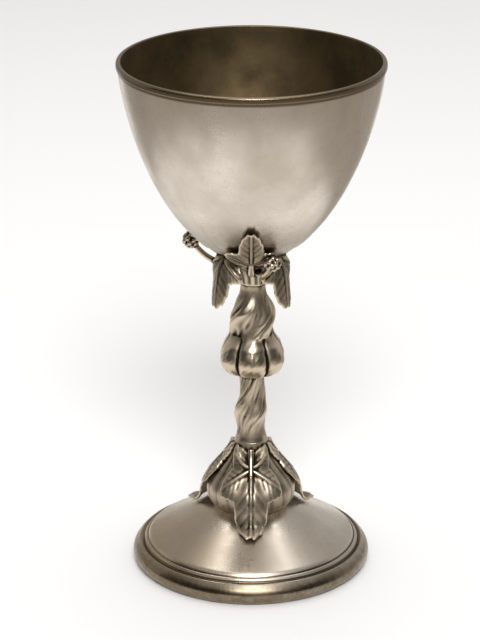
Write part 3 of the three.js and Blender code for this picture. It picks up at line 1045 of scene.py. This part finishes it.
def add_casting(context, solid, build, metal_name, passes, full_depth, rubbed):
    """Adds the casting that stands for a solid, with its relief marked, in cast silver."""
    piece = build(in_millimetres(context.scene.cup_sizes))
    mark_relief(piece, passes, full_depth)
    metal = oxidised_cast_silver(context.scene.cup_finish, metal_name, rubbed)
    dress(piece, [solid], [metal])
    return {"FINISHED"}


class CUP_OT_add_bowl(bpy.types.Operator):
    """Add the spun bowl with its rolled lip and gilded inside"""

    bl_idname = "trophy_cup.add_bowl"
    bl_label = "Add Bowl"

    def execute(self, context):
        piece = build_bowl(in_millimetres(context.scene.cup_sizes))
        mark_relief(piece, passes=6, full_depth=0.12)
        finish = context.scene.cup_finish
        # Darker towards the lip, partly a dull film and partly painted shade, and towards the bottom of the bowl,
        # painted shade under the bowl.
        grime_and_shade = [(176.8, 177.6, 1.2), (134, 117, 0.8)]
        plate = tarnished_silver_plate(finish, "bowl_silver_plate", stained=0.8, grime_and_shade=grime_and_shade, left_side_shade=0)
        dress(piece, ["bowl"], [plate, browned_gilding(finish)])
        return {"FINISHED"}


class CUP_OT_add_calyx(bpy.types.Operator):
    """Add the cast calyx: hub, leaves against the bowl, hanging leaves and bunches of berries"""

    bl_idname = "trophy_cup.add_calyx"
    bl_label = "Add Calyx"

    def execute(self, context):
        wear = {"passes": 14, "full_depth": 0.16, "rubbed": 0.4}
        return add_casting(context, "calyx", build_calyx, "calyx_cast_silver", **wear)


class CUP_OT_add_stem(bpy.types.Operator):
    """Add the cast stem: a wound trunk with a lobed knop"""

    bl_idname = "trophy_cup.add_stem"
    bl_label = "Add Stem"

    def execute(self, context):
        wear = {"passes": 40, "full_depth": 0.2, "rubbed": 0.66}
        return add_casting(context, "stem", build_stem, "stem_cast_silver", **wear)


class CUP_OT_add_leaf_cap(bpy.types.Operator):
    """Add the cast cap of broad leaves over the foot"""

    bl_idname = "trophy_cup.add_leaf_cap"
    bl_label = "Add Leaf Cap"

    def execute(self, context):
        wear = {"passes": 14, "full_depth": 0.16, "rubbed": 0.42}
        return add_casting(context, "leaf_cap", build_leaf_cap, "cap_cast_silver", **wear)


class CUP_OT_add_foot(bpy.types.Operator):
    """Add the spun foot with its moulded rim"""

    bl_idname = "trophy_cup.add_foot"
    bl_label = "Add Foot"

    def execute(self, context):
        piece = build_foot(in_millimetres(context.scene.cup_sizes))
        mark_relief(piece, passes=6, full_depth=0.08)
        finish = context.scene.cup_finish
        # Darker towards the foot's rim: partly a dull film and partly painted shade from the contact shadow that
        # the rim mirrors.
        grime_and_shade = [(9.0, 6.0, 0.85)]
        # The side band is painted shade on the foot's left side.
        plate = tarnished_silver_plate(finish, "foot_silver_plate", stained=1.0, grime_and_shade=grime_and_shade, left_side_shade=0.5)
        dress(piece, ["foot"], [plate])
        return {"FINISHED"}


class CUP_OT_add_stage(bpy.types.Operator):
    """Add the white floor, the soft light, the surround and the camera"""

    bl_idname = "trophy_cup.add_stage"
    bl_label = "Add Stage"

    def execute(self, context):
        scene = context.scene
        stage = scene.cup_stage
        half = stage.floor_size / 2
        corners = [(-half, -half, 0), (half, -half, 0), (half, half, 0), (-half, half, 0)]
        paper = matt_sheet("white_paper", 1.5, 3, [(0.0, 0.985), (1.0, 1.0)], 0.8, scene.cup_finish.floor)
        stage_object("floor", corners, [(0, 1, 2, 3)], paper)
        add_dark_surround()
        side, up = stage.window_side, stage.window_height
        away = Vector((math.sin(side) * math.cos(up), -math.cos(side) * math.cos(up), math.sin(up)))
        facing = (-away).to_track_quat("-Z", "Y").to_euler()
        place = away * stage.window_distance
        add_soft_light("window", "DISK", stage.window_size, stage.window_power, place, facing)
        above = (0, stage.softbox_back, stage.softbox_height)
        add_soft_light("softbox", "SQUARE", stage.softbox_size, stage.softbox_power, above, (0, 0, 0))
        scene.world = surround(stage.sky)
        scene.view_settings.view_transform = "Standard"
        data = bpy.data.cameras.new("camera")
        data.sensor_fit = "AUTO"
        data.sensor_width = 36
        data.lens = stage.lens
        data.clip_start = 0.01
        camera = bpy.data.objects.new("camera", data)
        camera.location = (0, -stage.camera_distance, stage.camera_height)
        camera.rotation_euler = (math.pi / 2 - stage.camera_pitch, 0, stage.camera_yaw)
        scene.collection.objects.link(camera)
        scene.camera = camera
        return {"FINISHED"}


STEPS = (
    CUP_OT_add_stage,
    CUP_OT_add_foot,
    CUP_OT_add_leaf_cap,
    CUP_OT_add_stem,
    CUP_OT_add_calyx,
    CUP_OT_add_bowl,
)


class CUP_PT_panel(bpy.types.Panel):
    """The cup's pieces, in the order in which they are stacked"""

    bl_idname = "CUP_PT_panel"
    bl_label = "Trophy Cup"
    bl_space_type = "VIEW_3D"
    bl_region_type = "UI"
    bl_category = "Trophy Cup"

    def draw(self, context):
        for step in STEPS:
            self.layout.operator(step.bl_idname)


GROUPS = {"cup_sizes": CupSizes, "cup_finish": CupFinish, "cup_stage": CupStage}


def register():
    for kind in (*GROUPS.values(), *STEPS, CUP_PT_panel):
        bpy.utils.register_class(kind)
    for name, group in GROUPS.items():
        setattr(bpy.types.Scene, name, PointerProperty(type=group))


def unregister():
    for name in GROUPS:
        delattr(bpy.types.Scene, name)
    for kind in (CUP_PT_panel, *reversed(STEPS), *GROUPS.values()):
        bpy.utils.unregister_class(kind)


def main():
    register()
    for step in STEPS:
        group, name = step.bl_idname.split(".")
        getattr(getattr(bpy.ops, group), name)()


if __name__ == "__main__":
    main()
